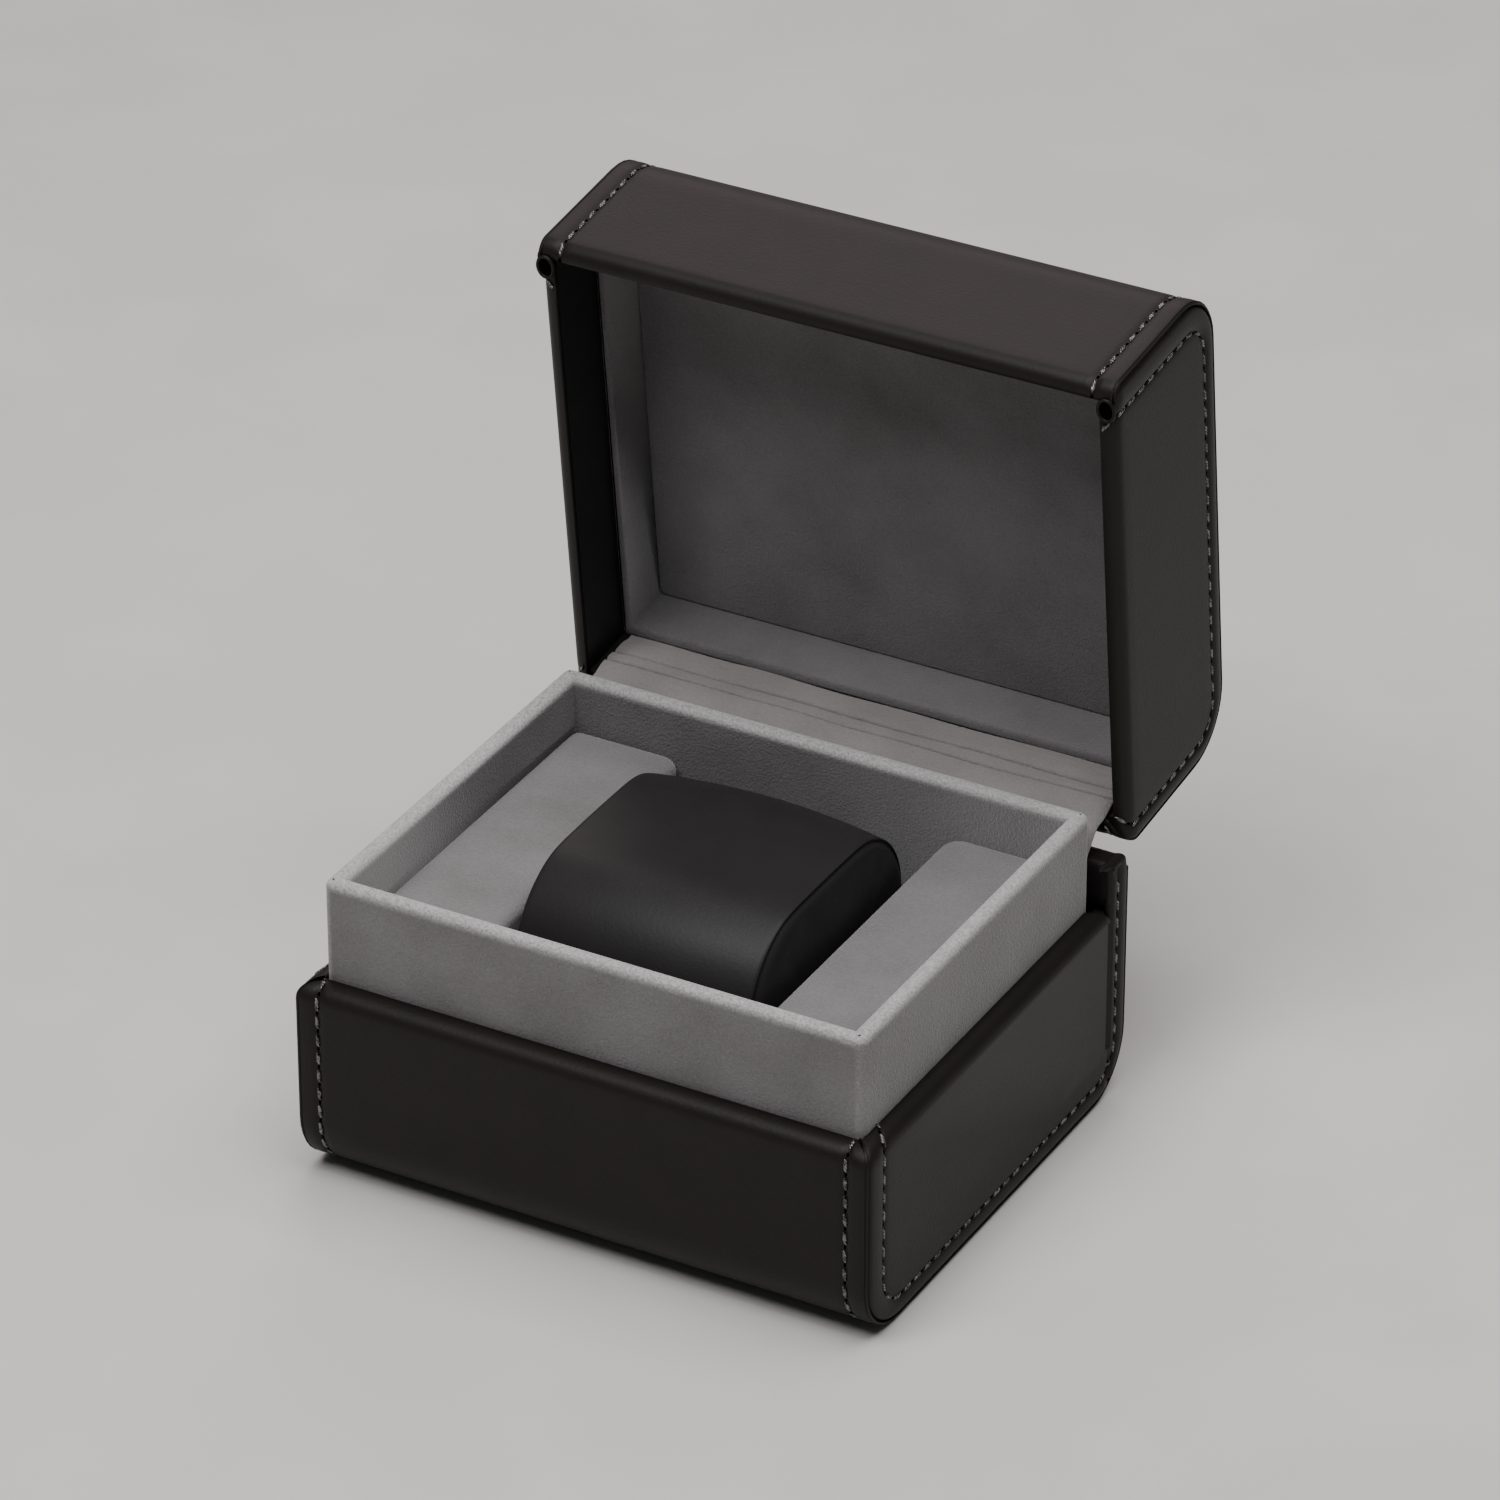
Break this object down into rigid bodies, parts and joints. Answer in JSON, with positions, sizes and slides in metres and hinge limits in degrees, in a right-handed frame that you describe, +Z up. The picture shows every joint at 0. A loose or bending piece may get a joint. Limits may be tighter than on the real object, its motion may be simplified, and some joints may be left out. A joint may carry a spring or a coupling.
{
  "type": "watch box",
  "caption": "Hinged leatherette watch box, lid open, with a grey velvet collar and lining, side platforms and a loose cushion that a watch is strapped round.",
  "frame": {"origin": "centre of the base's underside, where the box rests", "axes": "+X to the right across the box, along the hinge; +Y from the front to the hinge; +Z up from the surface it stands on"},
  "size_m": [0.104, 0.1236, 0.1363],
  "materials": {
    "leatherette": "charcoal leatherette, fine grain, satin",
    "velvet": "short grey velvet pile",
    "cushion_leatherette": "smooth dark leatherette, matt",
    "shell_plastic": "black moulded plastic and board",
    "hinge_steel": "plain steel",
    "cushion_foam": "soft wadding inside the cushion"
  },
  "bodies": {
    "base": {"base_wrap": "leatherette", "base_side_left": "leatherette", "base_side_right": "leatherette", "collar_front": "velvet", "collar_back": "velvet", "collar_left": "velvet", "collar_right": "velvet", "platform_left": "velvet", "platform_right": "velvet", "well_floor": "velvet", "hinge_cloth": "velvet", "base_shell": "shell_plastic", "tray_board": "shell_plastic", "hinge_leaf_base": "hinge_steel", "hinge_pin": "hinge_steel", "hinge_nails_base": "hinge_steel"},
    "lid": {"lid_shell": "shell_plastic", "lid_wrap": "leatherette", "lid_side_left": "leatherette", "lid_side_right": "leatherette", "lid_liner_front": "velvet", "lid_liner_back": "velvet", "lid_liner_left": "velvet", "lid_liner_right": "velvet", "lid_pad": "velvet", "hinge_leaf_lid": "hinge_steel", "hinge_nails_lid": "hinge_steel"},
    "cushion": {"cushion_cover": "cushion_leatherette", "cushion_end_left": "cushion_leatherette", "cushion_end_right": "cushion_leatherette", "cushion_core": "cushion_foam"}
  },
  "joints": [
    {"name": "lid_hinge", "type": "hinge", "parent": "base", "child": "lid", "pos_m": [0, 0.0443, 0.04473], "axis": [1, 0, 0], "range_deg": [0, 83.5], "deforming": ["hinge_cloth"]},
    {"name": "cushion_lift", "type": "slide", "parent": "base", "child": "cushion", "axis": [0, 0, 1], "range_m": [0, 0.011]}
  ]
}
